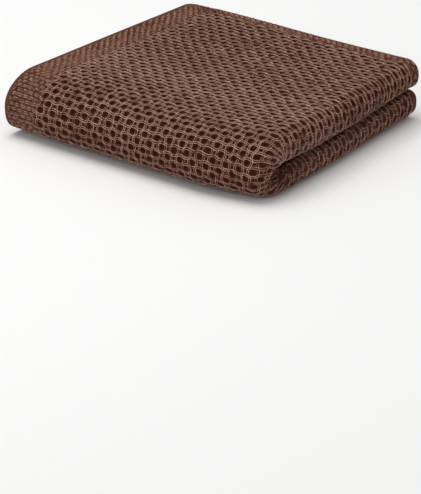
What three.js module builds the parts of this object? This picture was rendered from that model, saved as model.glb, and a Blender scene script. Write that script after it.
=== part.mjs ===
// A waffle-weave cotton dishcloth, folded to a square and lying flat.
//
// The cloth is one cut length, hemmed all round. It is folded in half three times. The first two
// folds stack four plies, which here are called an arm. The closed side of an arm faces +X and its
// long hems face -X. The third fold turns the arm round on itself, so the front, at -Y, is one
// thick round fold, and the back, at +Y, shows the short hems.
//
// Frame: millimetres, +Z up, origin at the middle of the footprint on the table.

import * as THREE from 'three';

// Driving sizes.
const WIDTH = 151; // X, from the long hems to the side folds, at the back
const DEPTH = 154; // Y, from the front fold to the short hems
const PLY = 3.2; // one ply of the waffle weave, with its relief
const HEM_PLY = 2.7; // the plain woven border, which is flatter
const PLY_GAP = 0.85; // air between the plies of an arm
const ARM_GAP = 1.2; // air between the upper and the lower arm
const SIDE_BORDER = 16.7; // plain border along the two long hems
const BORDER_STEP = 3; // length over which the border reaches the full thickness
const FRONT_FOLD_REACH = 23.4; // length of the round front, from where the arms begin to bend

// Roundness of the bends, as the exponent of a superellipse. 2 is an ellipse, more is blunter.
const FREE_ROUND = 2.1; // a side fold, on the outside of the arm
const PRESSED_ROUND = 3.1; // a side fold, where the two arms press on each other
const FRONT_UPPER_ROUND = 2;
const FRONT_LOWER_ROUND = 2.8; // the weight of the cloth squares the lower half of the front

// How far the plies of an arm are out of line, from the outside of the fold inwards. The third and
// the inner ply are joined on the left by a fold, so they share one left inset.
const PLIES = [
  { name: 'outer', leftInset: 0.0, upperEndInset: 1.0, lowerEndInset: 2.4 },
  { name: 'second', leftInset: 1.4, upperEndInset: 1.9, lowerEndInset: 0.9 },
  { name: 'third', leftInset: 0.6, upperEndInset: 0.0, lowerEndInset: 1.7 },
  { name: 'inner', leftInset: 0.6, upperEndInset: 0.7, lowerEndInset: 0.2 },
];

// Unevenness of a cloth folded by hand.
const LOFT = { backLeft: 1.015, backRight: 0.985, frontLeft: 1.005, frontRight: 0.985 };
const SWELL = 0.008; // share of the height by which the top rises and falls
const SWELL_LENGTH = 118; // length of that slow wave
const SQUEEZE = 1.9; // how far the gap between the arms is pressed down, halfway along
const BELLY = 1.3; // how far the side folds bulge, halfway along
const FLARE = 8; // how much wider the cloth is at the front than at the back
const CORNER_SET_BACK = 5.5; // how far the front fold falls back at the right corner
const CORNER_REACH = 36; // length over which it does

// Fineness of the faceted solid.
const PLY_STEPS = 8;
const WIDE_NOSE_STEPS = 12;
const TIGHT_NOSE_STEPS = 6;
const ARM_STEPS = 8;
const FRONT_FOLD_STEPS = 14;

// Sizes that follow.
const PITCH = PLY + PLY_GAP;
const ARM = PLIES.length * PLY + (PLIES.length - 1) * PLY_GAP;
const HEIGHT = 2 * ARM + ARM_GAP;
const FOLD_RADIUS = (ARM + ARM_GAP) / 2; // of the arm's middle line round the front fold
const FOLD_CENTRE_Y = -DEPTH / 2 + FRONT_FOLD_REACH;
const FOLD_STRETCH = (FRONT_FOLD_REACH - PLY / 2) / (FOLD_RADIUS + ARM / 2 - PLY / 2);
const WIDE_NOSE_RADIUS = 1.5 * PITCH; // of the ply's middle line
const TIGHT_NOSE_RADIUS = 0.5 * PITCH;
const NOSE_CENTRE_X = WIDTH / 2 - WIDE_NOSE_RADIUS - PLY / 2;
const LEFT = -WIDTH / 2;

// How far the middle of each ply lies outwards from the middle of its arm.
const plyHeight = (index) => ARM / 2 - PLY / 2 - index * PITCH;

const smooth = (t) => {
  const c = Math.min(Math.max(t, 0), 1);
  return c * c * (3 - 2 * c);
};

const mix = (a, b, t) => a + (b - a) * t;

// A sine or cosine bent to the roundness of a superellipse.
const rounded = (value, round) => Math.sign(value) * Math.abs(value) ** (2 / round);

// The middle line of the four plies, seen along Y, as stations from one long hem to the other.
// A station holds x, its distance n outwards from the arm's middle, half the thickness there, and
// how far the short end is drawn in on either arm.
function sectionStations() {
  const [outer, second, third, inner] = [0, 1, 2, 3];
  const stations = [];

  const add = (x, n, half, t, from, to) => {
    const upperEndInset = mix(PLIES[from].upperEndInset, PLIES[to].upperEndInset, t);
    const lowerEndInset = mix(PLIES[from].lowerEndInset, PLIES[to].lowerEndInset, t);
    stations.push({ x, n, half, upperEndInset, lowerEndInset });
  };

  // A straight ply. Its stations draw together towards the right, where the cloth's plan is most
  // uneven, and stop short of the folds, which add their own ends.
  const addPly = (ply, fromX, toX, hemX) => {
    const direction = Math.sign(toX - fromX);
    const [leftX, rightX] = [Math.min(fromX, toX), Math.max(fromX, toX)];
    const shares = Array.from({ length: PLY_STEPS - 1 }, (_, k) => 1 - (1 - (k + 1) / PLY_STEPS) ** 1.5);
    const open = shares.map((share) => mix(leftX, rightX, share));
    const hemSteps = [0, SIDE_BORDER, SIDE_BORDER + BORDER_STEP].map((d) => hemX + d);
    const clearOfHem = open.filter((x) => hemX === null || x > hemX + SIDE_BORDER + 2 * BORDER_STEP);
    const xs = (hemX === null ? [] : hemSteps).concat(clearOfHem).sort((a, b) => (a - b) * direction);
    for (const x of xs) {
      const share = hemX === null ? 1 : smooth((x - hemX - SIDE_BORDER) / BORDER_STEP);
      add(x, plyHeight(ply), mix(HEM_PLY, PLY, share) / 2, 0, ply, ply);
    }
  };

  // A fold from one ply to another: a half round that bulges to the right (1) or the left (-1).
  const addNose = (centreX, radius, side, from, to, steps) => {
    const middle = (plyHeight(from) + plyHeight(to)) / 2;
    const start = Math.sign(plyHeight(from) - middle);
    for (let k = 0; k <= steps; k += 1) {
      const angle = (Math.PI * k) / steps;
      const up = Math.cos(angle) * start;
      const round = up < 0 ? PRESSED_ROUND : FREE_ROUND;
      const x = centreX + side * radius * rounded(Math.sin(angle), round);
      add(x, middle + radius * rounded(up, round), PLY / 2, k / steps, from, to);
    }
  };

  const outerHem = LEFT + PLIES[outer].leftInset;
  const secondHem = LEFT + PLIES[second].leftInset;
  const leftFoldX = LEFT + PLIES[third].leftInset + TIGHT_NOSE_RADIUS + PLY / 2;

  addPly(outer, outerHem, NOSE_CENTRE_X, outerHem);
  addNose(NOSE_CENTRE_X, WIDE_NOSE_RADIUS, 1, outer, inner, WIDE_NOSE_STEPS);
  addPly(inner, NOSE_CENTRE_X, leftFoldX, null);
  addNose(leftFoldX, TIGHT_NOSE_RADIUS, -1, inner, third, TIGHT_NOSE_STEPS);
  addPly(third, leftFoldX, NOSE_CENTRE_X, null);
  addNose(NOSE_CENTRE_X, TIGHT_NOSE_RADIUS, 1, third, second, TIGHT_NOSE_STEPS);
  addPly(second, NOSE_CENTRE_X, secondHem, secondHem);
  return stations;
}

// The closed outline of the section: up one face of the cloth and back down the other. Each point
// keeps the place of the middle line, and how far outwards from that line it lies.
function sectionOutline(stations) {
  const last = stations.length - 1;
  const face = (side) =>
    stations.map((s, k) => {
      const before = stations[Math.max(k - 1, 0)];
      const after = stations[Math.min(k + 1, last)];
      const length = Math.hypot(after.x - before.x, after.n - before.n);
      const offset = (side * s.half) / length;
      return {
        x: s.x - offset * (after.n - before.n),
        middle: s.n,
        offset: offset * (after.x - before.x),
        upperEndInset: s.upperEndInset,
        lowerEndInset: s.lowerEndInset,
      };
    });
  return face(1).concat(face(-1).reverse());
}

// The arm's way from the upper back edge, round the front fold, to the lower back edge. A step
// holds the outward direction in Y and in Z, and on a straight stretch the share of the way to the
// short end.
function armSteps() {
  const upper = Array.from({ length: ARM_STEPS }, (_, k) => ({
    outY: 0,
    outZ: 1,
    upperShare: 1 - k / ARM_STEPS,
    lowerShare: 0,
  }));
  const front = Array.from({ length: FRONT_FOLD_STEPS + 1 }, (_, k) => {
    const angle = (Math.PI * k) / FRONT_FOLD_STEPS;
    const round = 2 * k < FRONT_FOLD_STEPS ? FRONT_UPPER_ROUND : FRONT_LOWER_ROUND;
    return {
      outY: -rounded(Math.sin(angle), round),
      outZ: rounded(Math.cos(angle), round),
      upperShare: 0,
      lowerShare: 0,
    };
  });
  const lower = Array.from({ length: ARM_STEPS }, (_, k) => ({
    outY: 0,
    outZ: -1,
    upperShare: 0,
    lowerShare: (k + 1) / ARM_STEPS,
  }));
  return [...upper, ...front, ...lower];
}

// The unevenness. The table side stays flat, and what lies higher moves more.
function settle(point) {
  const toRight = smooth(point.x / WIDTH + 0.5);
  const toFront = smooth(0.5 - point.y / DEPTH);
  const back = mix(LOFT.backLeft, LOFT.backRight, toRight);
  const front = mix(LOFT.frontLeft, LOFT.frontRight, toRight);
  const phaseX = (2 * Math.PI * point.x) / SWELL_LENGTH;
  const phaseY = (2 * Math.PI * point.y) / SWELL_LENGTH;
  const swell = SWELL * Math.sin(phaseX + 0.6) * Math.cos(phaseY - 0.4);
  const right = smooth((2 * point.x) / WIDTH);
  const level = point.z / HEIGHT;
  const halfway = Math.cos((Math.PI * point.y) / DEPTH);
  const corner = smooth((point.x - WIDTH / 2 + CORNER_REACH) / CORNER_REACH);
  const nearFront = smooth((FOLD_CENTRE_Y - point.y) / FRONT_FOLD_REACH + 0.5);
  point.z -= SQUEEZE * halfway * 4 * level * (1 - level);
  point.z *= mix(back, front, toFront) + swell;
  point.y += CORNER_SET_BACK * corner * nearFront;
  point.x += (FLARE * toFront + BELLY * halfway) * right;
  return point;
}

function clothGeometry() {
  const stations = sectionStations();
  const outline = sectionOutline(stations);
  const steps = armSteps();
  const around = outline.length;
  const positions = [];

  for (const step of steps) {
    for (const p of outline) {
      const upperReach = DEPTH / 2 - p.upperEndInset - FOLD_CENTRE_Y;
      const lowerReach = DEPTH / 2 - p.lowerEndInset - FOLD_CENTRE_Y;
      const along = step.upperShare * upperReach + step.lowerShare * lowerReach;
      const reachY = FOLD_STRETCH * (FOLD_RADIUS + p.middle) + p.offset;
      const reachZ = FOLD_RADIUS + p.middle + p.offset;
      const y = FOLD_CENTRE_Y + along + reachY * step.outY;
      const z = HEIGHT / 2 + reachZ * step.outZ;
      positions.push(...settle(new THREE.Vector3(p.x, y, z)).toArray());
    }
  }

  const indices = [];
  const quad = (a, b, c, d) => indices.push(a, b, c, a, c, d);
  for (let s = 0; s < steps.length - 1; s += 1) {
    for (let k = 0; k < around; k += 1) {
      const next = (k + 1) % around;
      quad(s * around + k, (s + 1) * around + k, (s + 1) * around + next, s * around + next);
    }
  }

  // The two ends, across the thickness of the cloth from one face to the other.
  const last = (steps.length - 1) * around;
  for (let k = 0; k < stations.length - 1; k += 1) {
    const facing = around - 1 - k;
    quad(k, k + 1, facing - 1, facing);
    quad(last + k, last + facing, last + facing - 1, last + k + 1);
  }

  const geometry = new THREE.BufferGeometry();
  geometry.setAttribute('position', new THREE.Float32BufferAttribute(positions, 3));
  geometry.setIndex(indices);
  geometry.computeBoundingBox();
  const middle = geometry.boundingBox.getCenter(new THREE.Vector3());
  geometry.translate(-middle.x, -middle.y, 0);
  geometry.computeVertexNormals();
  return geometry;
}

const cotton = new THREE.MeshStandardMaterial({ color: 0x6b4a3e, roughness: 0.95, metalness: 0 });

const cloth = new THREE.Mesh(clothGeometry(), cotton);
cloth.name = 'cloth';

const dishcloth = new THREE.Group();
dishcloth.add(cloth);

export default dishcloth;
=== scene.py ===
import math

import bpy
import numpy as np
from mathutils import Matrix, Vector


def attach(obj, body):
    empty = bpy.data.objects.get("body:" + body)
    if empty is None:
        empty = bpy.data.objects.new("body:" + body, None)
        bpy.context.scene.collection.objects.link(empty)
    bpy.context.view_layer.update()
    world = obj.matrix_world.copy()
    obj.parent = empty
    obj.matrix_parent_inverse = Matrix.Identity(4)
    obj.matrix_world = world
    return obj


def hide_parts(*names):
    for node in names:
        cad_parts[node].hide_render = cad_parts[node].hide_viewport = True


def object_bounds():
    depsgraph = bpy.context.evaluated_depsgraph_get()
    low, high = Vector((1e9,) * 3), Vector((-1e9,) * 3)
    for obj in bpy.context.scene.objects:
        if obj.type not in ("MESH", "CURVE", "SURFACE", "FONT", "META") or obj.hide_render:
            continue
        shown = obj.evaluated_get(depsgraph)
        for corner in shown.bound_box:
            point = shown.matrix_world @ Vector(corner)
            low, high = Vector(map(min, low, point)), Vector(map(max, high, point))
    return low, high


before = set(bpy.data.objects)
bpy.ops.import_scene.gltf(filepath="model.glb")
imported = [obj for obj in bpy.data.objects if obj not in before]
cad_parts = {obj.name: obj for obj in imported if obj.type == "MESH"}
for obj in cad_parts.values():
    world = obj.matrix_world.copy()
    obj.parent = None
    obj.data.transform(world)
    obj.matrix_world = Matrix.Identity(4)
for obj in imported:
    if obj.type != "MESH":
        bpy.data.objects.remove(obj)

solid_low, solid_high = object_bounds()
bpy.ops.object.select_all(action="DESELECT")


# The way the cloth is folded. It is one length of honeycomb cotton, folded in half three times:
# four plies lie on each other with their closed side to the right, and then turn round the thick
# front fold. Sizes are in millimetres and are those of the solid that this piece stands for.
WIDTH = 151.0
DEPTH = 154.0
PLY = 3.2
HEM_PLY = 2.7
PLY_GAP = 0.85
ARM_GAP = 1.2
SIDE_BORDER = 16.7
BORDER_STEP = 3.0
FRONT_FOLD_REACH = 23.4
FREE_ROUND, PRESSED_ROUND = 2.1, 3.1
FRONT_UPPER_ROUND, FRONT_LOWER_ROUND = 2.0, 2.8
LEFT_INSET = [0.0, 1.4, 0.6, 0.6]
UPPER_END_INSET = [1.0, 1.9, 0.0, 0.7]
LOWER_END_INSET = [2.4, 0.9, 1.7, 0.2]
LOFT_BACK, LOFT_FRONT = (1.015, 0.985), (1.005, 0.985)
SWELL, SWELL_LENGTH, SWELL_FROM_X, SWELL_FROM_Y = 0.008, 118.0, 0.6, 0.4
SQUEEZE, BELLY, FLARE = 1.9, 1.3, 8.0
CORNER_SET_BACK, CORNER_REACH = 5.5, 36.0
CREASE_Y, CREASE_LEAN, CREASE_DEPTH, CREASE_REACH = -60.5, 12.0, 2.8, 8.0
CREASE_WIDTH_BEFORE, CREASE_WIDTH_BEHIND = 1.6, 5.0
CORNER_ROUND = 6.0
PLY_POINTS, NOSE_STEPS, TIGHT_STEPS = 150, 72, 40
ARM_STEPS, BEND_STEPS = 160, 180

PITCH = PLY + PLY_GAP
ARM = 4 * PLY + 3 * PLY_GAP
HEIGHT = 2 * ARM + ARM_GAP
CREASED_BELOW, CREASED_ABOVE = (HEIGHT / 2 + 2, -2.5), (1.5, 3.0)
FOLD_RADIUS = (ARM + ARM_GAP) / 2
FOLD_CENTRE_Y = -DEPTH / 2 + FRONT_FOLD_REACH
FOLD_STRETCH = (FRONT_FOLD_REACH - PLY / 2) / (FOLD_RADIUS + ARM / 2 - PLY / 2)
NOSE_CENTRE_X = WIDTH / 2 - 1.5 * PITCH - PLY / 2
LEFT = -WIDTH / 2
TO_FRAME_X = solid_low.x * 1000 - LEFT


def smooth(t):
    c = np.clip(t, 0.0, 1.0)
    return c * c * (3 - 2 * c)


def ease(value, start, over):
    """0 up to start and 1 from start + over on, or the other way where over is below 0."""
    return smooth((value - start) / over)


def rounded(value, power):
    return np.sign(value) * np.abs(value) ** (2 / power)


def ply_height(ply):
    return ARM / 2 - PLY / 2 - ply * PITCH


def section_line():
    """The middle line of the four plies from one long hem to the other, a row for each point.

    A row holds x, height, half the thickness, and how far the upper and lower ends are set back.
    """
    points = []

    def straight(ply, start, stop, hem):
        for x in np.linspace(start, stop, PLY_POINTS)[1:-1]:
            share = 1.0 if hem is None else float(ease(x - hem, SIDE_BORDER, BORDER_STEP))
            half = (HEM_PLY + (PLY - HEM_PLY) * share) / 2
            points.append((x, ply_height(ply), half, UPPER_END_INSET[ply], LOWER_END_INSET[ply]))

    def fold(centre, radius, side, first, second, count):
        middle = (ply_height(first) + ply_height(second)) / 2
        start = math.copysign(1, ply_height(first) - middle)
        for k in range(count + 1):
            t = k / count
            up = math.cos(math.pi * t) * start
            power = PRESSED_ROUND if up < 0 else FREE_ROUND
            x = centre + side * radius * float(rounded(math.sin(math.pi * t), power))
            n = middle + radius * float(rounded(up, power))
            upper = UPPER_END_INSET[first] * (1 - t) + UPPER_END_INSET[second] * t
            lower = LOWER_END_INSET[first] * (1 - t) + LOWER_END_INSET[second] * t
            points.append((x, n, PLY / 2, upper, lower))

    tight = 0.5 * PITCH
    left_fold = LEFT + LEFT_INSET[2] + tight + PLY / 2
    points.append((LEFT, ply_height(0), HEM_PLY / 2, UPPER_END_INSET[0], LOWER_END_INSET[0]))
    straight(0, LEFT, NOSE_CENTRE_X, LEFT)
    fold(NOSE_CENTRE_X, 1.5 * PITCH, 1, 0, 3, NOSE_STEPS)
    straight(3, NOSE_CENTRE_X, left_fold, None)
    fold(left_fold, tight, -1, 3, 2, TIGHT_STEPS)
    straight(2, left_fold, NOSE_CENTRE_X, None)
    fold(NOSE_CENTRE_X, tight, 1, 2, 1, TIGHT_STEPS)
    last = LEFT + LEFT_INSET[1]
    straight(1, NOSE_CENTRE_X, last, last)
    points.append((last, ply_height(1), HEM_PLY / 2, UPPER_END_INSET[1], LOWER_END_INSET[1]))
    return np.array(points)


SECTION = section_line()
SECTION_DIRECTION = np.gradient(SECTION[:, :2], axis=0)
SECTION_DIRECTION /= np.linalg.norm(SECTION_DIRECTION, axis=1, keepdims=True)
SECTION_END = len(SECTION) - 1.0
NOSE_START = PLY_POINTS - 1.0
NOSE_END = NOSE_START + NOSE_STEPS
LEFT_FOLD_START = NOSE_END + PLY_POINTS - 1
LEFT_FOLD_END = LEFT_FOLD_START + TIGHT_STEPS
INNER_NOSE_START = LEFT_FOLD_END + PLY_POINTS - 1
INNER_NOSE_END = INNER_NOSE_START + TIGHT_STEPS


def arm_line():
    """The arm's way from the upper short end, round the front fold, to the lower short end.

    A row holds the way out in y and z, and how much of the upper and of the lower arm lies ahead.
    """
    rows = [(0.0, 1.0, 1 - k / ARM_STEPS, 0.0) for k in range(ARM_STEPS)]
    for k in range(BEND_STEPS + 1):
        angle = math.pi * k / BEND_STEPS
        power = FRONT_UPPER_ROUND if k < BEND_STEPS / 2 else FRONT_LOWER_ROUND
        out_y, out_z = -rounded(math.sin(angle), power), rounded(math.cos(angle), power)
        rows.append((float(out_y), float(out_z), 0.0, 0.0))
    rows += [(0.0, -1.0, 0.0, (k + 1) / ARM_STEPS) for k in range(ARM_STEPS)]
    return np.array(rows)


ARM_LINE = arm_line()
ARM_END = len(ARM_LINE) - 1.0
BEND_START, BEND_END = float(ARM_STEPS), float(ARM_STEPS + BEND_STEPS)


def along_line(line, place, column):
    return np.interp(place, np.arange(len(line)), line[:, column])


def cloth_point(across, along, lift):
    """The point of the folded cloth at a place of the section and of the arm, lift off its middle."""
    across, along, lift = np.broadcast_arrays(across, along, lift)
    middle = along_line(SECTION, across, 1)
    x = along_line(SECTION, across, 0) - lift * along_line(SECTION_DIRECTION, across, 1)
    offset = lift * along_line(SECTION_DIRECTION, across, 0)
    out_y, out_z = along_line(ARM_LINE, along, 0), along_line(ARM_LINE, along, 1)
    upper_reach = DEPTH / 2 - along_line(SECTION, across, 3) - FOLD_CENTRE_Y
    lower_reach = DEPTH / 2 - along_line(SECTION, across, 4) - FOLD_CENTRE_Y
    upper = along_line(ARM_LINE, along, 2) * upper_reach
    lower = along_line(ARM_LINE, along, 3) * lower_reach
    y = FOLD_CENTRE_Y + upper + lower + (FOLD_STRETCH * (FOLD_RADIUS + middle) + offset) * out_y
    z = HEIGHT / 2 + (FOLD_RADIUS + middle + offset) * out_z

    left_round = np.clip((LEFT + CORNER_ROUND - x) / CORNER_ROUND, 0.0, 1.0)
    back_round = np.clip((y - DEPTH / 2 + CORNER_ROUND) / CORNER_ROUND, 0.0, 1.0)
    x = x + CORNER_ROUND * left_round * (1 - np.sqrt(1 - back_round**2 / 2))
    y = y - CORNER_ROUND * back_round * (1 - np.sqrt(1 - left_round**2 / 2))

    to_right, to_front = smooth(x / WIDTH + 0.5), smooth(0.5 - y / DEPTH)
    back = LOFT_BACK[0] + (LOFT_BACK[1] - LOFT_BACK[0]) * to_right
    front = LOFT_FRONT[0] + (LOFT_FRONT[1] - LOFT_FRONT[0]) * to_right
    swell_x, swell_y = 2 * np.pi * x / SWELL_LENGTH, 2 * np.pi * y / SWELL_LENGTH
    wave = np.sin(swell_x + SWELL_FROM_X) * np.cos(swell_y - SWELL_FROM_Y)
    right = smooth(2 * x / WIDTH)
    level = z / HEIGHT
    halfway = np.cos(np.pi * y / DEPTH)
    corner = smooth((x - WIDTH / 2 + CORNER_REACH) / CORNER_REACH)
    near_front = smooth((FOLD_CENTRE_Y - y) / FRONT_FOLD_REACH + 0.5)
    z = z - SQUEEZE * halfway * 4 * level * (1 - level)
    z = z * (back + (front - back) * to_front + SWELL * wave)
    y = y + CORNER_SET_BACK * corner * near_front
    below_gap = ease(z, *CREASED_BELOW) * ease(z, *CREASED_ABOVE)
    past = y - CREASE_Y + CREASE_LEAN * (0.5 - level)
    width = np.where(past < 0, CREASE_WIDTH_BEFORE, CREASE_WIDTH_BEHIND)
    crease = np.exp(-((past / width) ** 2)) * below_gap
    x = x - CREASE_DEPTH * crease * smooth((x - WIDTH / 2 + CREASE_REACH) / CREASE_REACH)
    x = x + (FLARE * to_front + BELLY * halfway) * right + TO_FRAME_X
    return np.stack([x, y, z], -1)


# The lattice of the honeycomb. Wide and narrow cells alternate like the squares of a board. A
# cell is counted i to the right and j to the front, along the middle of the cloth, so the cells
# open a little round the outside of a fold. The weave has crept a little where it was pressed.
CELL_X, CELL_Y = 3.83, 3.63
FIRST_CELL_X, FIRST_CELL_Y = 4.86, 15.04
ARM_WAVE, CROSS_WAVE = 0.14, 0.1
CREEP_AT_J = [-25, -21, -14, -7, 0, 7, 13, 19, 31]
CREEP_RIGHT = [0.0, -0.7, -0.6, -0.4, -0.3, -0.5, 0.1, 0.6, 0.0]
CREEP_FRONT = [0.0, -0.7, -0.5, -0.5, -0.45, -0.5, -0.1, 0.0, 0.0]
CREPT_FROM_LEFT, CREPT_FROM_RIGHT = (-20, 12), (20, -10)
ROWS_BOW, BOW_REACH = 0.3, 18
ROWS_CROWN, CROWN_FALL, CROWN_REACH = 0.2, 2.2, 16
BACK_TILT, TILT_REACH = 0.4, 14
BOWED_FROM_BACK, BOWED_FROM_FRONT = (-21, 10), (30, -8)
TILTED_FROM_BACK, TILTED_FROM_FRONT = (-25, 3), (-10, -7)
BORDER_AT_J, BORDER_AT_I = [8, 13], [-18.2, -17.9]
HEM_AT_I, HEM_AT_J = [-18, -4, 9, 13, 17], [-22.6, -22.9, -22.6, -22.4, -23.3]
LAST_HEM = 0.7
FACE_POINTS, TABLE_POINTS = 560, 700
TOP_POINT, MIDDLE_POINT = 100, 200
CLOSING_ROUNDS = 7

# The way over the outside, from the hems to just under the side fold, is measured on a net of
# points, and two tables then give the place on the cloth back from it.
FACE_END = NOSE_END + 11
face_across = np.linspace(0, FACE_END, FACE_POINTS)
face_along = np.linspace(0, ARM_END, FACE_POINTS)
face = cloth_point(face_across[None, :], face_along[:, None], 0.0)
steps_across = np.linalg.norm(np.diff(face, axis=1), axis=2)
steps_along = np.linalg.norm(np.diff(face, axis=0), axis=2)
reach_x = np.concatenate([np.zeros((FACE_POINTS, 1)), np.cumsum(steps_across, 1)], 1) + face[:, :1, 0]
reach_y = np.concatenate([np.zeros((1, FACE_POINTS)), np.cumsum(steps_along, 0)], 0) - face[0, 0, 1]
shoulder = int(np.searchsorted(face_across, NOSE_START))
reach_y[:, shoulder:] = reach_y[:, shoulder : shoulder + 1]
grid_x = np.linspace(reach_x.min(), reach_x.max(), TABLE_POINTS)
grid_y = np.linspace(reach_y.min(), reach_y.max(), TABLE_POINTS)
across_of_x = np.stack([np.interp(grid_x, row, face_across) for row in reach_x])
along_of_y = np.stack([np.interp(grid_y, column, face_along) for column in reach_y.T], 1)


def table_at(table, row, column):
    """The value of a table between its rows and columns."""
    row = np.clip(row, 0, table.shape[0] - 1.0001)
    column = np.clip(column, 0, table.shape[1] - 1.0001)
    r, c = row.astype(int), column.astype(int)
    dr, dc = row - r, column - c
    upper = table[r, c] * (1 - dc) + table[r, c + 1] * dc
    lower = table[r + 1, c] * (1 - dc) + table[r + 1, c + 1] * dc
    return upper * (1 - dr) + lower * dr


def creep(i, j):
    """How far the weave has crept to the right and to the front, in cells.

    The borders hold it, the rows bow over the middle, and at the back they tilt.
    """
    free = ease(i, *CREPT_FROM_LEFT) * ease(i, *CREPT_FROM_RIGHT)
    place = np.interp(j, CREEP_AT_J, np.arange(len(CREEP_AT_J)))
    step = np.floor(place)
    place = step + smooth(place - step)
    right = np.interp(place, np.arange(len(CREEP_AT_J)), CREEP_RIGHT) * free
    front = np.interp(place, np.arange(len(CREEP_AT_J)), CREEP_FRONT)
    middle = ease(j, *BOWED_FROM_BACK) * ease(j, *BOWED_FROM_FRONT)
    crowned = ROWS_CROWN * (1 - CROWN_FALL * (i / CROWN_REACH) ** 2) * middle
    bowed = ROWS_BOW * i / BOW_REACH * middle
    tilted = BACK_TILT * i / TILT_REACH * ease(j, *TILTED_FROM_FRONT) * ease(j, *TILTED_FROM_BACK)
    return right, front + (crowned - bowed) + tilted


def border_edge(j):
    """The column of cells where the plain side border ends."""
    return np.interp(j, BORDER_AT_J, BORDER_AT_I)


def hem_edge(i):
    """The row of cells where the plain end border ends."""
    return np.interp(i, HEM_AT_I, HEM_AT_J)


def place_on_cloth(i, j):
    """Where a point of the lattice lies in the section and along the arm, found by closing in."""
    right, front = creep(i, j)
    x = FIRST_CELL_X + CELL_X * (i + right)
    y = FIRST_CELL_Y + CELL_Y * (j + front)
    x_column = (x - grid_x[0]) / (grid_x[-1] - grid_x[0]) * (TABLE_POINTS - 1)
    y_row = (y - grid_y[0]) / (grid_y[-1] - grid_y[0]) * (TABLE_POINTS - 1)
    across = np.interp(x, reach_x[TOP_POINT], face_across)
    along = np.interp(y, reach_y[:, MIDDLE_POINT], face_along)
    for _ in range(CLOSING_ROUNDS):
        across = table_at(across_of_x, along / ARM_END * (FACE_POINTS - 1), x_column)
        along = table_at(along_of_y, y_row, across / FACE_END * (FACE_POINTS - 1))
    return across, along


def ridge_lines(i, j):
    """Distances, in cells, to the nearest ridge along the arm and to the nearest across it."""
    best_i = np.full(np.shape(i), 9.0)
    best_j = np.full(np.shape(i), 9.0)
    for step in (-1, 0, 1):
        m = np.round(i - 0.5) + step
        arm_wave = ARM_WAVE * np.cos(np.pi * m) * np.cos(np.pi * j)
        best_i = np.minimum(best_i, np.abs(i - m - 0.5 - arm_wave))
        n = np.round(j - 0.5) + step
        cross_wave = CROSS_WAVE * np.cos(np.pi * n) * np.cos(np.pi * i)
        best_j = np.minimum(best_j, np.abs(j - n - 0.5 - cross_wave))
    return best_i, best_j


# The cloth itself, one length of soft dyed cotton, woven in one with its borders and only folded.
# It is one closed sheet, with the hollows of the honeycomb where its outside shows. The borders,
# the inside and the plies that lie within are plain and have fewer faces.
CELL_FACES_ACROSS, CELL_FACES_ALONG = 6, 5
HOLLOW_DEPTH = 1.75
GROUND_DROP = 0.7
BORDER_DROP, BORDER_KEPT_AT_EDGE, EDGE_EASE = 0.8, 0.4, 0.3
HOLLOW_LEAST, HOLLOW_CHANCE = 0.82, 0.36
RIDGE_HALF, WALL_WIDTH = 0.13, 0.28
WALL_SINK, WALL_SINK_FROM_CORNER = 0.05, 0.3
SIDE_EASE, END_EASE = 1.6, 0.5
STRETCH, STRETCHED_FROM_I = 0.5, (17.8, 2.0)
FRONT_FILL, FILLED_FROM_J = 0.14, (9, 5)
BASE_COLUMNS, BASE_ROWS = 42, 40
LIP = 0.2


def woven_mask(i, j):
    """1 where the honeycomb is, 0 in the plain borders, eased over the first cells."""
    left = ease(i, border_edge(j), SIDE_EASE)
    back = ease(j, hem_edge(i), END_EASE)
    end = ease(j, last_j - LAST_HEM, -END_EASE)
    return left * back * end


def hollow(i, j):
    """0 on a ridge and 1 over the bottom of a cell, with walls that sink a little off its corners."""
    best_i, best_j = ridge_lines(i, j)
    from_corner = np.minimum(np.abs(best_i - best_j), WALL_SINK_FROM_CORNER)
    nearest = np.minimum(best_i, best_j) + WALL_SINK * from_corner
    return ease(nearest, RIDGE_HALF, WALL_WIDTH)


def stretched(i):
    """1 round the side fold, where the cells are pulled shallow, and 0 over the top."""
    return ease(i, *STRETCHED_FROM_I)


def cell_chance(i, j):
    """A number from 0 to 1 that is the same all over a cell."""
    cell = np.sin(np.round(i) * 12.9898 + np.round(j) * 78.233) * 43758.5453
    return cell - np.floor(cell)


class SheetMaker:
    """Collects the points and faces of one piece."""

    def __init__(self):
        self.points, self.lattice, self.depth, self.plain, self.count = [], [], [], [], 0
        self.faces = {3: [], 4: []}

    def add(self, points, i, j, depth=0.0, plain=2.0):
        """Plain is 0 for honeycomb, 1 under a woven border and 2 where the cloth is bare."""
        points = points.reshape(-1, 3)
        self.points.append(points)
        self.lattice.append(np.stack([np.ravel(i), np.ravel(j)], 1))
        self.depth.append(np.broadcast_to(np.ravel(depth), len(points)))
        self.plain.append(np.broadcast_to(np.ravel(plain), len(points)))
        self.count += len(points)
        return np.arange(self.count - len(points), self.count)

    def sheet(self, numbers):
        """Faces for rows (along the arm) by columns (across the section), outside out."""
        a, b = numbers[:-1, :-1], numbers[:-1, 1:]
        c, d = numbers[1:, 1:], numbers[1:, :-1]
        self.faces[4].append(np.stack([a, d, c, b], -1).reshape(-1, 4))

    def seam(self, first, first_at, second, second_at):
        """A strip of triangles between two lines with unlike numbers of points."""
        made, p, q = [], 0, 0
        while p < len(first) - 1 or q < len(second) - 1:
            if q == len(second) - 1:
                step_first = True
            elif p == len(first) - 1:
                step_first = False
            else:
                step_first = first_at[p + 1] - second_at[q] <= second_at[q + 1] - first_at[p]
            if step_first:
                made.append((first[p], first[p + 1], second[q]))
                p += 1
            else:
                made.append((first[p], second[q + 1], second[q]))
                q += 1
        self.faces[3].append(np.array(made))


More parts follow.
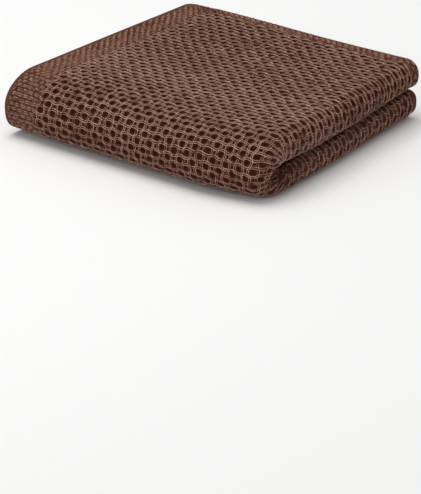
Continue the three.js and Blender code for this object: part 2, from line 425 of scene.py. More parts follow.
def make_piece(name, points, faces):
    """Makes a piece from points in millimetres, and gives it and the corners of its faces."""
    mesh = bpy.data.meshes.new(name)
    mesh.vertices.add(len(points))
    mesh.vertices.foreach_set("co", (np.asarray(points) / 1000).astype(np.float32).ravel())
    faces = [np.asarray(f) for f in faces if len(f)]
    corners = np.concatenate([f.ravel() for f in faces]).astype(np.int32)
    sizes = np.concatenate([np.full(len(f), f.shape[1]) for f in faces]).astype(np.int32)
    mesh.loops.add(len(corners))
    mesh.loops.foreach_set("vertex_index", corners)
    mesh.polygons.add(len(sizes))
    starts = np.concatenate([[0], np.cumsum(sizes)[:-1]])
    mesh.polygons.foreach_set("loop_start", starts.astype(np.int32))
    mesh.update(calc_edges=True)
    mesh.polygons.foreach_set("use_smooth", np.full(len(sizes), True))
    piece = bpy.data.objects.new(name, mesh)
    bpy.context.scene.collection.objects.link(piece)
    return piece, corners


cloth = SheetMaker()
bend_row = int(BEND_END / ARM_END * (FACE_POINTS - 1))
bend_j = (reach_y[bend_row, MIDDLE_POINT] - FIRST_CELL_Y) / CELL_Y
last_j = (reach_y[-1, shoulder] - FIRST_CELL_Y) / CELL_Y
first_i = (reach_x[0, 0] - FIRST_CELL_X) / CELL_X
first_j = (reach_y[0, 0] - FIRST_CELL_Y) / CELL_Y
FRONT_LAST = math.ceil(bend_j) + 1.5
nose_i = (reach_x[:, shoulder].min() - FIRST_CELL_X) / CELL_X
UNDER_FIRST = math.floor(nose_i) - 2.5
SIDE_LAST = math.floor((reach_x[:, -1].min() - FIRST_CELL_X) / CELL_X - 0.9) + 0.5

border_i = np.linspace(first_i, min(BORDER_AT_I), 9)[:-1]
woven_i = np.arange(min(BORDER_AT_I), SIDE_LAST - 0.01, 1 / CELL_FACES_ACROSS)
columns = np.concatenate([border_i, woven_i, [SIDE_LAST]])
hem_j = np.linspace(first_j, min(HEM_AT_J), 4)[:-1]
woven_j = np.arange(min(HEM_AT_J), FRONT_LAST - 0.01, 1 / CELL_FACES_ALONG)
rows = np.concatenate([hem_j, woven_j, [FRONT_LAST]])


def lay_outside(across, along, i, j):
    """Adds the woven outside, with its hollows, sunk a little under the yarns that lie on it."""
    depth_kept = 1 - STRETCH * stretched(i) - FRONT_FILL * ease(j, *FILLED_FROM_J)
    mask, pit = woven_mask(i, j), hollow(i, j) * depth_kept
    deep = GROUND_DROP + HOLLOW_DEPTH * pit * (HOLLOW_LEAST + HOLLOW_CHANCE * cell_chance(i, j))
    from_edge = smooth(np.minimum(i - first_i, j - first_j) / EDGE_EASE)
    border = BORDER_DROP * (BORDER_KEPT_AT_EDGE + (1 - BORDER_KEPT_AT_EDGE) * from_edge)
    lift = along_line(SECTION, across, 2) - mask * deep - (1 - mask) * border
    # The plain value rises where the cells are kept shallow, which lightens their painted shade.
    numbers = cloth.add(cloth_point(across, along, lift), i, j, mask * pit, 1 - mask * depth_kept)
    return numbers.reshape(i.shape)


def lay_plain(across, along, i, j, side=1):
    """Adds bare cloth, on the outside where side is 1 and on the inside where it is -1."""
    lift = side * along_line(SECTION, across, 2)
    return cloth.add(cloth_point(across, along, lift), i, j).reshape(i.shape)


# The top, and round from it the side fold and the front fold.
i, j = np.meshgrid(columns, rows)
across, along = place_on_cloth(i, j)
across[:, 0], along[0, :] = 0.0, 0.0
upper = lay_outside(across, along, i, j)
cloth.sheet(upper)
upper_across, upper_along = across, along

# The side fold of the lower arm, which shows beneath the upper one.
under_first = int(np.searchsorted(columns, UNDER_FIRST))
under_columns = columns[under_first:]
under_j = np.arange(FRONT_LAST + 1 / CELL_FACES_ALONG, last_j - 0.2, 1 / CELL_FACES_ALONG)
under_j = np.append(under_j, last_j)
i, j = np.meshgrid(under_columns, under_j)
across, along = place_on_cloth(i, j)
along[-1, :] = ARM_END
under = lay_outside(across, along, i, j)
under_across, under_along = across, along
cloth.sheet(np.concatenate([upper[-1:, under_first:], under], 0))

side_numbers = np.concatenate([upper[:, -1], under[:, -1]])
side_across = np.concatenate([upper_across[:, -1], under_across[:, -1]])
side_along = np.concatenate([upper_along[:, -1], under_along[:, -1]])

# The underside, which the cloth lies on. No cells are drawn there.
base_across = np.linspace(0, upper_across[-1, under_first] - 1.5, BASE_COLUMNS)
base_along = np.linspace(upper_along[-1, 0] + 2, ARM_END, BASE_ROWS)
across, along = np.meshgrid(base_across, base_along)
i = (np.interp(across, face_across, reach_x[-1]) - FIRST_CELL_X) / CELL_X
j = (np.interp(along, face_along, reach_y[:, MIDDLE_POINT]) - FIRST_CELL_Y) / CELL_Y
base = lay_plain(across, along, i, j)
cloth.sheet(base)
cloth.seam(base[0], base_across, upper[-1, : under_first + 1], upper_across[-1, : under_first + 1])
left_under = np.concatenate([upper[-1:, under_first], under[:, 0]])
left_under_at = np.concatenate([upper_along[-1:, under_first], under_along[:, 0]])
cloth.seam(base[:, -1], base_along, left_under, left_under_at)


def coarse_across(start):
    """Places across the section for the plain faces, closer together round the folds."""
    stops = np.concatenate([
        np.linspace(0, NOSE_START, 12)[:-1],
        np.linspace(NOSE_START, NOSE_END, 15)[:-1],
        np.linspace(NOSE_END, LEFT_FOLD_START, 11)[:-1],
        np.linspace(LEFT_FOLD_START, LEFT_FOLD_END, 11)[:-1],
        np.linspace(LEFT_FOLD_END, INNER_NOSE_START, 11)[:-1],
        np.linspace(INNER_NOSE_START, INNER_NOSE_END, 11)[:-1],
        np.linspace(INNER_NOSE_END, SECTION_END, 12),
    ])
    return stops[stops >= start]


coarse_along = np.concatenate([
    np.linspace(0, BEND_START, 12)[:-1],
    np.linspace(BEND_START, BEND_END, 21)[:-1],
    np.linspace(BEND_END, ARM_END, 12),
])


def coarse_lattice(across, along):
    """The lattice on the plain faces, run on along the section from the long hem."""
    run = np.concatenate([[0], np.cumsum(np.linalg.norm(np.diff(SECTION[:, :2], axis=0), axis=1))])
    i = first_i + np.interp(across, np.arange(len(run)), run) / CELL_X
    j = (np.interp(along, face_along, reach_y[:, MIDDLE_POINT]) - FIRST_CELL_Y) / CELL_Y
    return i, j


# The outer face of the plies that lie within, and then all of the inner face.
inner_stops = coarse_across(side_across.max() + 2.0)
inner_stops = np.concatenate([[side_across.max() + 1.2], inner_stops])
across, along = np.meshgrid(inner_stops, coarse_along)
i, j = coarse_lattice(across, along)
inner = lay_plain(across, along, i, j)
cloth.sheet(inner)
cloth.seam(side_numbers, side_along, inner[:, 0], coarse_along)

across, along = np.meshgrid(coarse_across(0), coarse_along)
i, j = coarse_lattice(across, along)
inside = lay_plain(across, along, i, j, -1)
cloth.sheet(inside[:, ::-1])


def loop_at(across, along):
    """A place on the cut edge of the cloth, counted once round its four sides from 0 to 4."""
    a, b = across / SECTION_END, along / ARM_END
    return np.where(b <= 0, a, np.where(a >= 1, 1 + b, np.where(b >= 1, 3 - a, 4 - b)))


# The cut edge. The points of the outside and of the inside are put in order round it, and a low
# lip joins the two.
edge_numbers = np.concatenate([
    upper[0],
    inner[0],
    inner[1:, -1],
    inner[-1, ::-1][1:],
    under[-1, ::-1],
    base[-1, ::-1],
    base[::-1, 0][1:],
    upper[::-1, 0],
])
edge_across = np.concatenate([
    upper_across[0],
    inner_stops,
    np.full(len(coarse_along) - 1, SECTION_END),
    inner_stops[::-1][1:],
    under_across[-1, ::-1],
    base_across[::-1],
    np.zeros(len(base_along) - 1),
    np.zeros(len(rows)),
])
edge_along = np.concatenate([
    np.zeros(len(columns)),
    np.zeros(len(inner_stops)),
    coarse_along[1:],
    np.full(len(inner_stops) - 1, ARM_END),
    np.full(len(under_columns), ARM_END),
    np.full(len(base_across), ARM_END),
    base_along[::-1][1:],
    upper_along[::-1, 0],
])
edge_at = loop_at(edge_across, edge_along)
edge_at[-1] = 4.0

stops = coarse_across(0)
round_across = np.concatenate([
    stops,
    np.full(len(coarse_along) - 1, SECTION_END),
    stops[::-1][1:],
    np.zeros(len(coarse_along) - 1),
])
round_along = np.concatenate([
    np.zeros(len(stops)),
    coarse_along[1:],
    np.full(len(stops) - 1, ARM_END),
    coarse_along[::-1][1:],
])
inside_numbers = np.concatenate([inside[0], inside[1:, -1], inside[-1, ::-1][1:], inside[::-1, 0][1:]])
round_at = loop_at(round_across, round_along)
round_at[-1] = 4.0
lip = cloth_point(round_across[:-1], round_along[:-1], 0.0)
lip[:, 1] += np.where((round_along[:-1] <= 0) | (round_along[:-1] >= ARM_END), LIP, 0.0)
lip[:, 0] -= np.where((round_across[:-1] <= 0) | (round_across[:-1] >= SECTION_END), LIP, 0.0)
i, j = coarse_lattice(round_across[:-1], round_along[:-1])
lip_numbers = cloth.add(lip, i, j)
lip_numbers = np.append(lip_numbers, lip_numbers[0])
cloth.seam(edge_numbers, edge_at, lip_numbers, round_at)
cloth.seam(lip_numbers, round_at, inside_numbers, round_at)

sheet_points = np.concatenate(cloth.points)
sheet_faces = [np.concatenate(cloth.faces[4]), np.concatenate(cloth.faces[3])]
sheet, sheet_corners = make_piece("folded_cloth", sheet_points, sheet_faces)
lattice = np.concatenate(cloth.lattice)
weave_map = sheet.data.uv_layers.new(name="Weave")
weave_map.data.foreach_set("uv", lattice[sheet_corners].astype(np.float32).ravel())
hollow_depth = sheet.data.attributes.new("hollow", "FLOAT", "POINT")
hollow_depth.data.foreach_set("value", np.concatenate(cloth.depth).astype(np.float32))
plain_border = sheet.data.attributes.new("plain", "FLOAT", "POINT")
plain_border.data.foreach_set("value", np.concatenate(cloth.plain).astype(np.float32))


def new_group(name, inputs, outputs):
    """A node group with named inputs and outputs, and its first and last nodes."""
    group = bpy.data.node_groups.new(name, "ShaderNodeTree")
    for label, kind, value in inputs:
        socket = group.interface.new_socket(label, in_out="INPUT", socket_type=kind)
        if value is not None:
            socket.default_value = value
    for label, kind in outputs:
        group.interface.new_socket(label, in_out="OUTPUT", socket_type=kind)
    return group, group.nodes.new("NodeGroupInput"), group.nodes.new("NodeGroupOutput")


def math_node(tree, operation, first, second=None):
    node = tree.nodes.new("ShaderNodeMath")
    node.operation = operation
    for socket, value in zip(node.inputs, (first, second)):
        if value is None:
            continue
        if isinstance(value, (int, float)):
            socket.default_value = value
        else:
            tree.links.new(value, socket)
    return node.outputs[0]


def mix_colour(tree, factor, first, second, blend="MIX"):
    node = tree.nodes.new("ShaderNodeMix")
    node.data_type = "RGBA"
    node.blend_type = blend
    for name, value in (("Factor_Float", factor), ("A_Color", first), ("B_Color", second)):
        socket = next(s for s in node.inputs if s.identifier == name)
        if isinstance(value, (int, float)):
            socket.default_value = value
        elif isinstance(value, tuple):
            socket.default_value = (*value, 1.0)
        else:
            tree.links.new(value, socket)
    return next(s for s in node.outputs if s.identifier == "Result_Color")


def spread(tree, value, low, high, to_low=0.0, to_high=1.0):
    """Spreads a value from low and high over another range."""
    node = tree.nodes.new("ShaderNodeMapRange")
    for name, number in (("From Min", low), ("From Max", high), ("To Min", to_low), ("To Max", to_high)):
        node.inputs[name].default_value = number
    tree.links.new(value, node.inputs["Value"])
    return node.outputs["Result"]


def noise(tree, place, scale, detail=3.0):
    node = tree.nodes.new("ShaderNodeTexNoise")
    node.inputs["Scale"].default_value = scale
    node.inputs["Detail"].default_value = detail
    tree.links.new(place, node.inputs["Vector"])
    return node.outputs["Fac"]


def linear(red, green, blue):
    """A colour given from 0 to 255, as light."""
    shares = [value / 255 for value in (red, green, blue)]
    return tuple(c / 12.92 if c <= 0.04 else ((c + 0.055) / 1.055) ** 2.4 for c in shares)


dye, dye_in, dye_out = new_group(
    "cotton dye",
    [
        ("Place", "NodeSocketVector", None),
        ("Colour", "NodeSocketColor", None),
        ("Mottle", "NodeSocketFloat", 0.2),
    ],
    [("Colour", "NodeSocketColor"), ("Roughness", "NodeSocketFloat"), ("Fuzz", "NodeSocketFloat")],
)
broad = noise(dye, dye_in.outputs["Place"], 22.0, 2.0)
fine = noise(dye, dye_in.outputs["Place"], 900.0, 3.0)
fibres = noise(dye, dye_in.outputs["Place"], 3600.0, 2.0)
patch = spread(dye, broad, 0.45, 0.75, 0.0, 0.5)
redder = mix_colour(dye, patch, dye_in.outputs["Colour"], (0.95, 0.62, 0.60), "MULTIPLY")
reddish = mix_colour(dye, 0.25, dye_in.outputs["Colour"], redder)
worn = mix_colour(dye, spread(dye, fine, 0.35, 0.7, 0.0, 1.0), (0.76, 0.66, 0.60), (1.2, 1.2, 1.2))
worn_reddish = mix_colour(dye, 1.0, reddish, worn, "MULTIPLY")
mottled = mix_colour(dye, dye_in.outputs["Mottle"], reddish, worn_reddish)
dye.links.new(mottled, dye_out.inputs["Colour"])
dye.links.new(spread(dye, fine, 0.3, 0.7, 0.82, 0.97), dye_out.inputs["Roughness"])
dye.links.new(fibres, dye_out.inputs["Fuzz"])


def group_in(tree, group, values, links):
    """Places a node group in a material, with values and links of its own."""
    node = tree.nodes.new("ShaderNodeGroup")
    node.node_tree = group
    for name, value in values:
        node.inputs[name].default_value = value
    for name, link in links:
        tree.links.new(link, node.inputs[name])
    return node.outputs


def cotton(name, weave, bump_distance, mottle, bloom):
    """Matt dyed cotton, with the colour and height that weave gives."""
    material = bpy.data.materials.new(name)
    material.use_nodes = True
    tree = material.node_tree
    shader = tree.nodes["Principled BSDF"]
    shader.inputs["Specular IOR Level"].default_value = 0.05
    shader.inputs["Sheen Weight"].default_value = bloom
    shader.inputs["Sheen Roughness"].default_value = 0.55
    shader.inputs["Sheen Tint"].default_value = (0.80, 0.66, 0.58, 1.0)
    place = tree.nodes.new("ShaderNodeTexCoord").outputs["Object"]
    colour, height = weave(tree)
    dyed = group_in(tree, dye, [("Mottle", mottle)], [("Place", place), ("Colour", colour)])
    tree.links.new(dyed["Colour"], shader.inputs["Base Color"])
    tree.links.new(dyed["Roughness"], shader.inputs["Roughness"])
    bump = tree.nodes.new("ShaderNodeBump")
    bump.inputs["Strength"].default_value = 0.8
    bump.inputs["Distance"].default_value = bump_distance
    raised = math_node(tree, "ADD", height, math_node(tree, "MULTIPLY", dyed["Fuzz"], 0.35))
    tree.links.new(raised, bump.inputs["Height"])
    tree.links.new(bump.outputs["Normal"], shader.inputs["Normal"])
    return material


def attribute(tree, name):
    node = tree.nodes.new("ShaderNodeAttribute")
    node.attribute_name = name
    return node.outputs["Fac"]


def map_parts(tree, name):
    """The two numbers of the piece's own map, across and along."""
    node = tree.nodes.new("ShaderNodeUVMap")
    node.uv_map = name
    parts = tree.nodes.new("ShaderNodeSeparateXYZ")
    tree.links.new(node.outputs["UV"], parts.inputs[0])
    return parts.outputs[0], parts.outputs[1]


def plain_weave(tree, across, along, count):
    """Height of a plain weave with so many yarns to a cell each way."""
    a = math_node(tree, "SINE", math_node(tree, "MULTIPLY", across, math.pi * count))
    b = math_node(tree, "SINE", math_node(tree, "MULTIPLY", along, math.pi * count))
    over = math_node(tree, "GREATER_THAN", math_node(tree, "MULTIPLY", a, b), 0.0)
    under = math_node(tree, "SUBTRACT", 1.0, over)
    first = math_node(tree, "MULTIPLY", math_node(tree, "ABSOLUTE", a), over)
    second = math_node(tree, "MULTIPLY", math_node(tree, "ABSOLUTE", b), under)
    return math_node(tree, "ADD", first, second)


# The cloth is dyed brown. In the cells the ground is painted much darker than the bare cloth, partly
# its dye and partly painted shade in the hollows, and darkest between its threads.
SHADED_GROUND_BROWN = linear(96, 52, 35)
SHADED_BOTTOM_BROWN = linear(92, 52, 37)
BORDER_GROUND_BROWN = linear(104, 68, 54)
BARE_HIGH_BROWN, BARE_LOW_BROWN = linear(150, 114, 98), linear(100, 66, 52)
DEEPEST_SHADE_BROWN = linear(54, 22, 11)


def ground(tree):
    across, along = map_parts(tree, "Weave")
    deep = attribute(tree, "hollow")
    weave = plain_weave(tree, across, along, 4.0)
    # Painted shade: the walls and bottoms of the cells, and the ground under the border yarns, are
    # darker than the bare cloth.
    wall = mix_colour(tree, weave, DEEPEST_SHADE_BROWN, SHADED_GROUND_BROWN)
    bottom = mix_colour(tree, weave, DEEPEST_SHADE_BROWN, SHADED_BOTTOM_BROWN)
    cell = mix_colour(tree, spread(tree, deep, 0.3, 1.0), wall, bottom)
    border = mix_colour(tree, weave, SHADED_GROUND_BROWN, BORDER_GROUND_BROWN)
    bare = mix_colour(tree, weave, BARE_LOW_BROWN, BARE_HIGH_BROWN)
    plain = attribute(tree, "plain")
    woven = mix_colour(tree, plain, cell, border)
    return mix_colour(tree, math_node(tree, "SUBTRACT", plain, 1.0), woven, bare), weave


ground_cotton = cotton("ground cotton", ground, bump_distance=0.0005, mottle=0.8, bloom=0.02)
sheet.data.materials.append(ground_cotton)
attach(sheet, "root")
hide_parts("cloth")


# The floats of the honeycomb, soft yarns of two twisted strands of cotton. Where two cells meet,
# two lie beside each other, with one more on each side lower down the walls of the cells. They are
# woven over and under those that cross them, and end under the plain borders.
YARN_RADIUS, YARN_APART, YARN_DIP = 0.17, 0.122, 0.14
WALL_RADIUS, WALL_APART, WALL_DROP = 0.18, 0.24, 0.9
# The wall yarns are painted darker than the floats, as painted shade down the walls of the cells.
ARM_TONE, CROSS_TONE, WALL_PAINTED_SHADE_TONE, PAINTED_SHADE_UNDER = 0.73, 0.9, -0.1, 0.14
YARN_CHANCE, RING_CHANCE, DRIFT_CHANCE, PULLED_TONE = 0.3, 0.2, 0.1, 0.75
SHIFT, PULLED_SHIFT, THICKNESS_CHANCE, LIFT_CHANCE = 0.012, 0.03, 0.13, 0.05
BACK_PAINTED_SHADE, BACK_PAINTED_SHADE_FROM_J = 0.12, (2, -9)
FRONT_PAINTED_SHADE, FRONT_PAINTED_SHADE_FROM_J = 0.2, (14, 10)
# Patches painted darker: painted shade in the crease of the front fold, and a darker patch at the back
# corner.
DARK_PATCHES = [(-18.0, -23.5, 3.0, 2.0, 0.45), (22.3, 23.5, 2.0, 5.0, 0.75)]
TUCK, TUCK_LENGTH, INSIDE_BORDER = 1.1, 0.6, 0.3
YARN_SIDES, YARN_STEPS = 5, 4
WALL_SIDES, WALL_STEPS = 4, 3
UP_STEP, TWIST_CHANCE = 0.3, 7.0
FLOAT_HIGH_BROWN, FLOAT_LOW_BROWN = linear(214, 176, 160), linear(76, 36, 23)


def lay_yarns(name, i, j, over, ends, seed, tone, sides=YARN_SIDES, radius=YARN_RADIUS, drop=0.0):
    """Tubes along lattice lines, with a row of i and j for each yarn.

    Over is 1 on top of a crossing and -1 beneath it. Ends is how far the end of the yarn is, in
    cells, and there it is tucked in.
    """
    chance = np.random.default_rng(seed)
    count, rings = i.shape
    pulled = stretched(i)
    i = i + (SHIFT + PULLED_SHIFT * pulled) * smooth_noise(chance, count, rings)
    j = j + (SHIFT + PULLED_SHIFT * pulled) * smooth_noise(chance, count, rings)
    across, along = place_on_cloth(i, j)
    radius = radius * (1 + THICKNESS_CHANCE * smooth_noise(chance, count, rings))
    dropped, dipped = drop * (1 - STRETCH * pulled), YARN_DIP * (1 - over)
    tucked = TUCK * (1 - smooth(ends / TUCK_LENGTH))
    lift = along_line(SECTION, across, 2) - radius - dropped - dipped
    lift = lift + LIFT_CHANCE * smooth_noise(chance, count, rings) - tucked
    centre = cloth_point(across, along, lift)
    up = cloth_point(across, along, lift + UP_STEP) - cloth_point(across, along, lift - UP_STEP)
    points, faces = tubes(centre, up, radius, sides)
    piece, _ = make_piece(name, points.reshape(-1, 3), faces)
    ring_steps = np.linalg.norm(np.diff(centre, axis=1), axis=2)
    run = np.concatenate([np.zeros((count, 1)), np.cumsum(ring_steps, 1)], 1)
    run = run + TWIST_CHANCE * chance.random((count, 1))
    twist_map = piece.data.uv_layers.new(name="Twist")
    twist_map.data.foreach_set("uv", twist_at(run, sides).astype(np.float32).ravel())
    # Painted shade: each yarn is darker where it dips under a crossing yarn.
    shade = tone + YARN_CHANCE * (chance.random((count, 1)) - 0.5) - PAINTED_SHADE_UNDER * (1 - over)
    # Painted shade, darker toward the back of the top.
    shade = shade - BACK_PAINTED_SHADE * ease(j, *BACK_PAINTED_SHADE_FROM_J) - dark_patches(i, j)
    # On the side fold, where the cells are shallow, the tones are drawn halfway together, which lessens
    # the painted shade of the wall yarns.
    shade = shade + STRETCH * pulled * (PULLED_TONE - tone)
    shade = shade + DRIFT_CHANCE * smooth_noise(chance, count, rings)
    shade = shade + RING_CHANCE * chance.normal(size=(count, rings))
    shades = piece.data.attributes.new("tone", "FLOAT", "POINT")
    shades.data.foreach_set("value", np.repeat(shade.ravel(), sides).astype(np.float32))
    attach(piece, "root")
    return piece


def tubes(centre, up, radius, sides):
    """Points and faces of round tubes with closed ends, the first point of each ring on top."""
    count, rings = radius.shape
    way = np.gradient(centre, axis=1)
    way /= np.linalg.norm(way, axis=2, keepdims=True)
    up -= way * np.sum(up * way, axis=2, keepdims=True)
    up /= np.linalg.norm(up, axis=2, keepdims=True)
    beside = np.cross(way, up)
    turn = 2 * np.pi * np.arange(sides) / sides
    ring = np.cos(turn)[:, None] * up[:, :, None, :] + np.sin(turn)[:, None] * beside[:, :, None, :]
    points = centre[:, :, None, :] + radius[:, :, None, None] * ring
    number = np.arange(count * rings * sides).reshape(count, rings, sides)
    beyond = np.roll(number, -1, axis=2)
    walls = np.stack([number[:, :-1], beyond[:, :-1], beyond[:, 1:], number[:, 1:]], -1).reshape(-1, 4)
    caps = np.concatenate([number[:, 0, ::-1], number[:, -1]])
    return points, [walls, caps]


def twist_at(run, sides):
    """The way along the yarn and the turn round it at each corner of its walls, and 0 at its ends."""
    run_corner = np.stack([run[:, :-1], run[:, :-1], run[:, 1:], run[:, 1:]], -1)
    run_corner = np.repeat(run_corner[:, :, None, :], sides, 2)
    turn_corner = np.arange(sides)[:, None] / sides + np.array([0, 1, 1, 0]) / sides
    turn_corner = np.broadcast_to(turn_corner, run_corner.shape)
    twist = np.stack([run_corner, turn_corner], -1).reshape(-1, 2)
    return np.concatenate([twist, np.zeros((2 * len(run) * sides, 2))])


def dark_patches(i, j):
    """How much darker the yarn is painted at the back corner, and as painted shade in the front fold's
    crease.

    A patch holds its i and j, its reach in each, and how dark it is.
    """
    darker = 0.0
    for patch_i, patch_j, reach_i, reach_j, dark in DARK_PATCHES:
        away = ((i - patch_i) / reach_i) ** 2 + ((j - patch_j) / reach_j) ** 2
        darker = darker + dark * np.exp(-away)
    return darker


def smooth_noise(chance, count, rings):
    """An uneven value that drifts along each yarn, with a knot at every third ring."""
    knots = chance.normal(size=(count, rings // 3 + 3))
    place = np.arange(rings) / 3
    k = place.astype(int)
    t = smooth(place - k)
    return knots[:, k] * (1 - t) + knots[:, k + 1] * t


def sign_of(number):
    """1 for an even ridge and -1 for an odd one."""
    return np.cos(np.pi * number)


def honeycomb_ends(i, j):
    """How far, in cells, a point lies inside the honeycomb, or below 0 outside it."""
    from_side = i - border_edge(j) - INSIDE_BORDER
    return np.minimum(np.minimum(from_side, j - hem_edge(i)), last_j - LAST_HEM - j)


def front_painted_shade(j):
    """Painted shade on the floats over the front fold, darker further down it."""
    return FRONT_PAINTED_SHADE * ease(j, *FRONT_PAINTED_SHADE_FROM_J)


def arm_yarns(name, first, last, start, stop, seed, tone, apart=YARN_APART, steps=YARN_STEPS, **make):
    """The yarns that run along the arm, two at each ridge from number first to last."""
    ridge = np.repeat(np.arange(first, last + 1), 2)[:, None]
    side = np.tile([-apart, apart], last - first + 1)[:, None]
    j = np.linspace(start, stop, int(round((stop - start) * steps)) + 1)[None, :]
    i = ridge + 0.5 + ARM_WAVE * sign_of(ridge) * np.cos(np.pi * j) + side
    over = sign_of(ridge) * np.cos(np.pi * (j - 0.5))
    j = np.broadcast_to(j, i.shape)
    ends = np.minimum(honeycomb_ends(i, j), np.minimum(j - start, stop - j))
    return lay_yarns(name, i, j, over, ends, seed, tone - front_painted_shade(j), **make)


def cross_yarns(name, first, last, start, stop, seed, tone, apart=YARN_APART, steps=YARN_STEPS, **make):
    """The yarns that run across the cloth from the border, round the side fold."""
    ridge = np.repeat(np.arange(first, last + 1), 2)[:, None]
    side = np.tile([-apart, apart], last - first + 1)[:, None]
    i = np.linspace(start, stop, int(round((stop - start) * steps)) + 1)[None, :]
    j = ridge + 0.5 + CROSS_WAVE * sign_of(ridge) * np.cos(np.pi * i) + side
    over = -sign_of(ridge) * np.cos(np.pi * (i - 0.5))
    i = np.broadcast_to(i, j.shape)
    ends = np.minimum(honeycomb_ends(i, j), np.minimum(i - start, stop - i))
    return lay_yarns(name, i, j, over, ends, seed, tone - front_painted_shade(j), **make)


first_ridge = math.floor(min(BORDER_AT_I))
last_ridge = int(SIDE_LAST - 1.5)
first_row = math.floor(min(HEM_AT_J))
last_row = int(FRONT_LAST - 1.5)
under_ridge = int(UNDER_FIRST + 1.5)
under_row = int(math.floor(last_j - LAST_HEM - 0.8))
arm_span = (min(HEM_AT_J), FRONT_LAST - 0.2)
cross_span = (min(BORDER_AT_I), SIDE_LAST - 0.2)
low_arm_span = (FRONT_LAST - 0.9, last_j - LAST_HEM)
low_cross_span = (UNDER_FIRST + 0.4, SIDE_LAST - 0.2)
wall = dict(apart=WALL_APART, steps=WALL_STEPS, sides=WALL_SIDES, radius=WALL_RADIUS, drop=WALL_DROP)
floats = [
    arm_yarns("arm_yarn", first_ridge, last_ridge, *arm_span, 11, ARM_TONE),
    cross_yarns("cross_yarn", first_row, last_row, *cross_span, 12, CROSS_TONE),
    arm_yarns("arm_wall_yarn", first_ridge, last_ridge, *arm_span, 13, WALL_PAINTED_SHADE_TONE, **wall),
    cross_yarns("cross_wall_yarn", first_row, last_row, *cross_span, 14, WALL_PAINTED_SHADE_TONE, **wall),
    arm_yarns("lower_arm_yarn", under_ridge, last_ridge, *low_arm_span, 15, ARM_TONE),
    cross_yarns("lower_cross_yarn", last_row + 1, under_row, *low_cross_span, 16, CROSS_TONE),
]

spun, spun_in, spun_out = new_group(
    "spun yarn",
    [
        ("Run", "NodeSocketFloat", 0.0),
        ("Turn", "NodeSocketFloat", 0.0),
        ("Tone", "NodeSocketFloat", 0.5),
        ("Lay", "NodeSocketFloat", 0.9),
        ("Dark", "NodeSocketColor", None),
        ("Light", "NodeSocketColor", None),
    ],
    [("Colour", "NodeSocketColor"), ("Height", "NodeSocketFloat")],
)
laid = math_node(spun, "DIVIDE", spun_in.outputs["Run"], spun_in.outputs["Lay"])
doubled = math_node(spun, "MULTIPLY", spun_in.outputs["Turn"], 2.0)
angle = math_node(spun, "MULTIPLY", math_node(spun, "ADD", laid, doubled), 2 * math.pi)
strand = spread(spun, math_node(spun, "SINE", angle), -1.0, 1.0)
spun.links.new(strand, spun_out.inputs["Height"])
groove = math_node(spun, "MULTIPLY", math_node(spun, "SUBTRACT", 1.0, strand), 0.12)
grooved = math_node(spun, "SUBTRACT", spun_in.outputs["Tone"], groove)
strand_colour = mix_colour(spun, grooved, spun_in.outputs["Dark"], spun_in.outputs["Light"])
spun.links.new(strand_colour, spun_out.inputs["Colour"])


def yarn_cotton(name, dark, light, lay, bump_distance, mottle, bloom):
    """Cotton spun of two strands, which follow each other every lay millimetres along the yarn."""

    def yarn(tree):
        run, turn = map_parts(tree, "Twist")
        links = [("Run", run), ("Turn", turn), ("Tone", attribute(tree, "tone"))]
        values = [("Dark", (*dark, 1)), ("Light", (*light, 1)), ("Lay", lay)]
        spun_node = group_in(tree, spun, values, links)
        return spun_node["Colour"], spun_node["Height"]

    return cotton(name, yarn, bump_distance, mottle, bloom)


float_cotton = yarn_cotton(
    "float yarn cotton",
    FLOAT_LOW_BROWN,
    FLOAT_HIGH_BROWN,
    lay=0.9,
    bump_distance=0.00012,
    mottle=0.8,
    bloom=0.06,
)
for piece in floats:
    piece.data.materials.append(float_cotton)


# The plain borders, down the long sides and at the ends. The same cotton is woven in one with the
# honeycomb, but as a close basket weave with no cells: two yarns lie side by side in each strand,
# and the strands that cross the arm stand up as small knobs, set like bricks.
STRAND_ACROSS, STRAND_ALONG = 0.5, 0.68
CROSS_RADIUS, CROSS_APART, CROSS_DIP = 0.35, 0.13, 0.35
ARM_RADIUS, ARM_APART, ARM_DIP, ARM_DROP = 0.32, 0.12, 0.28, 0.2
# The arm yarns between the knobs are painted darker than the knobs, as painted shade where they lie
# lower.
KNOB_TONE, BETWEEN_KNOBS_SHADED_TONE, STRAND_PAINTED_SHADE = 0.95, 0.5, 0.2
STRAND_STEPS = 3
BORDER_LAP, TURN_IN = 0.9, 8
BORDER_HIGH_BROWN, BORDER_LOW_BROWN = linear(170, 133, 117), linear(84, 48, 35)


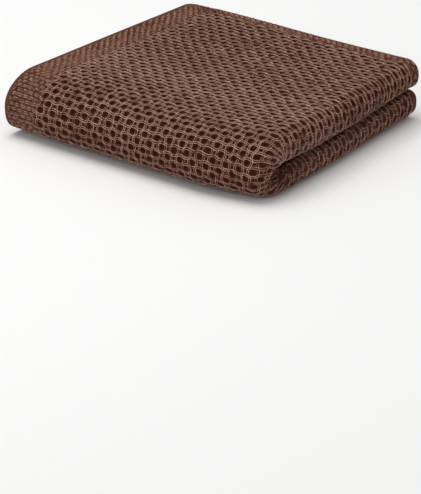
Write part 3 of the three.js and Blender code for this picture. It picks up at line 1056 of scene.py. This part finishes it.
def border_yarns(name, along_arm, i_span, j_span, seed):
    """The doubled yarns of the basket weave that run one way, over a span of i and of j."""
    first_column, last_column = i_span[0] / STRAND_ACROSS, i_span[1] / STRAND_ACROSS
    first_line, last_line = j_span[0] / STRAND_ALONG, j_span[1] / STRAND_ALONG
    columns = np.arange(math.ceil(first_column), math.floor(last_column) + 1)
    lines = np.arange(math.ceil(first_line), math.floor(last_line) + 1)
    if along_arm:
        own = np.repeat(columns, 2)[:, None]
        side = np.tile([-ARM_APART, ARM_APART], len(columns))[:, None]
        step = np.arange(lines[0], lines[-1] + 0.01, 1 / STRAND_STEPS)[None, :]
        i, j = np.broadcast_arrays(own * STRAND_ACROSS + side, step * STRAND_ALONG)
        over = sign_of(own) * np.cos(np.pi * step)
        radius, dip, drop, tone = ARM_RADIUS, ARM_DIP, ARM_DROP, BETWEEN_KNOBS_SHADED_TONE
    else:
        own = np.repeat(lines, 2)[:, None]
        side = np.tile([-CROSS_APART, CROSS_APART], len(lines))[:, None]
        step = np.arange(columns[0], columns[-1] + 0.01, 1 / STRAND_STEPS)[None, :]
        i, j = np.broadcast_arrays(step * STRAND_ACROSS, own * STRAND_ALONG + side)
        over = -sign_of(own) * np.cos(np.pi * step)
        radius, dip, drop, tone = CROSS_RADIUS, CROSS_DIP, 0.0, KNOB_TONE
    plain = BORDER_LAP - np.minimum(i - border_edge(j), j - hem_edge(i) + 0.5)
    edge = TURN_IN * np.minimum(i - first_i, j - first_j)
    depth = drop + (dip - YARN_DIP) * (1 - over)
    # Painted shade where a border yarn passes under a crossing one.
    tone = tone - STRAND_PAINTED_SHADE * (1 - over)
    return lay_yarns(name, i, j, over, np.minimum(plain, edge), seed, tone, radius=radius, drop=depth)


side_border = ((first_i + 0.05, max(BORDER_AT_I) + BORDER_LAP), (first_j + 0.05, FRONT_LAST - 0.4))
end_border = ((max(BORDER_AT_I), SIDE_LAST), (first_j + 0.05, max(HEM_AT_J) + 0.4))
borders = [
    border_yarns("border_arm_yarn", True, *side_border, 21),
    border_yarns("border_cross_yarn", False, *side_border, 22),
    border_yarns("end_arm_yarn", True, *end_border, 23),
    border_yarns("end_cross_yarn", False, *end_border, 24),
]

border_cotton = yarn_cotton(
    "border yarn cotton",
    BORDER_LOW_BROWN,
    BORDER_HIGH_BROWN,
    lay=1.3,
    bump_distance=0.0002,
    mottle=0.9,
    bloom=0.04,
)
for piece in borders:
    piece.data.materials.append(border_cotton)


# A plain pale floor under the cloth, soft studio light from above and from the front, and the
# camera at the photograph's viewing angle.
bpy.ops.mesh.primitive_plane_add(size=6, location=(0, 0, 0))
floor = bpy.context.object
floor.name = "floor"
floor_paint = bpy.data.materials.new("pale floor")
floor_paint.use_nodes = True
floor_paint.node_tree.nodes["Principled BSDF"].inputs["Base Color"].default_value = (0.86, 0.86, 0.86, 1)
floor_paint.node_tree.nodes["Principled BSDF"].inputs["Roughness"].default_value = 0.9
floor.data.materials.append(floor_paint)

world = bpy.data.worlds.new("studio")
bpy.context.scene.world = world
world.use_nodes = True
world.node_tree.nodes["Background"].inputs["Color"].default_value = (1.0, 0.99, 0.98, 1)
world.node_tree.nodes["Background"].inputs["Strength"].default_value = 0.55


def soft_light(name, place, aim, size, power):
    light = bpy.data.lights.new(name, "AREA")
    light.shape = "SQUARE"
    light.size = size
    light.energy = power
    lamp = bpy.data.objects.new(name, light)
    lamp.location = place
    lamp.rotation_euler = (Vector(aim) - Vector(place)).to_track_quat("-Z", "Y").to_euler()
    bpy.context.scene.collection.objects.link(lamp)


soft_light("top_light", (-0.25, -0.1, 1.2), (0, 0, 0), 0.9, 9.5)
soft_light("front_light", (-0.5, -1.3, 0.6), (0, 0, 0), 0.8, 3.6)

camera = bpy.data.objects.new("camera", bpy.data.cameras.new("camera"))
bpy.context.scene.collection.objects.link(camera)
camera_right = Vector((0.7922, 0.6102, 0.0063)).normalized()
camera_back = Vector((0.556, -0.726, 0.4046)).normalized()
camera_up = camera_back.cross(camera_right).normalized()
camera_right = camera_up.cross(camera_back)
turned = Matrix((camera_right, camera_up, camera_back)).transposed().to_4x4()
camera.matrix_world = Matrix.Translation((0.75091, -0.9879, 0.4822)) @ turned
camera.data.lens = 187.98
camera.data.sensor_width = 36
bpy.context.scene.camera = camera
bpy.context.scene.view_settings.view_transform = "Standard"
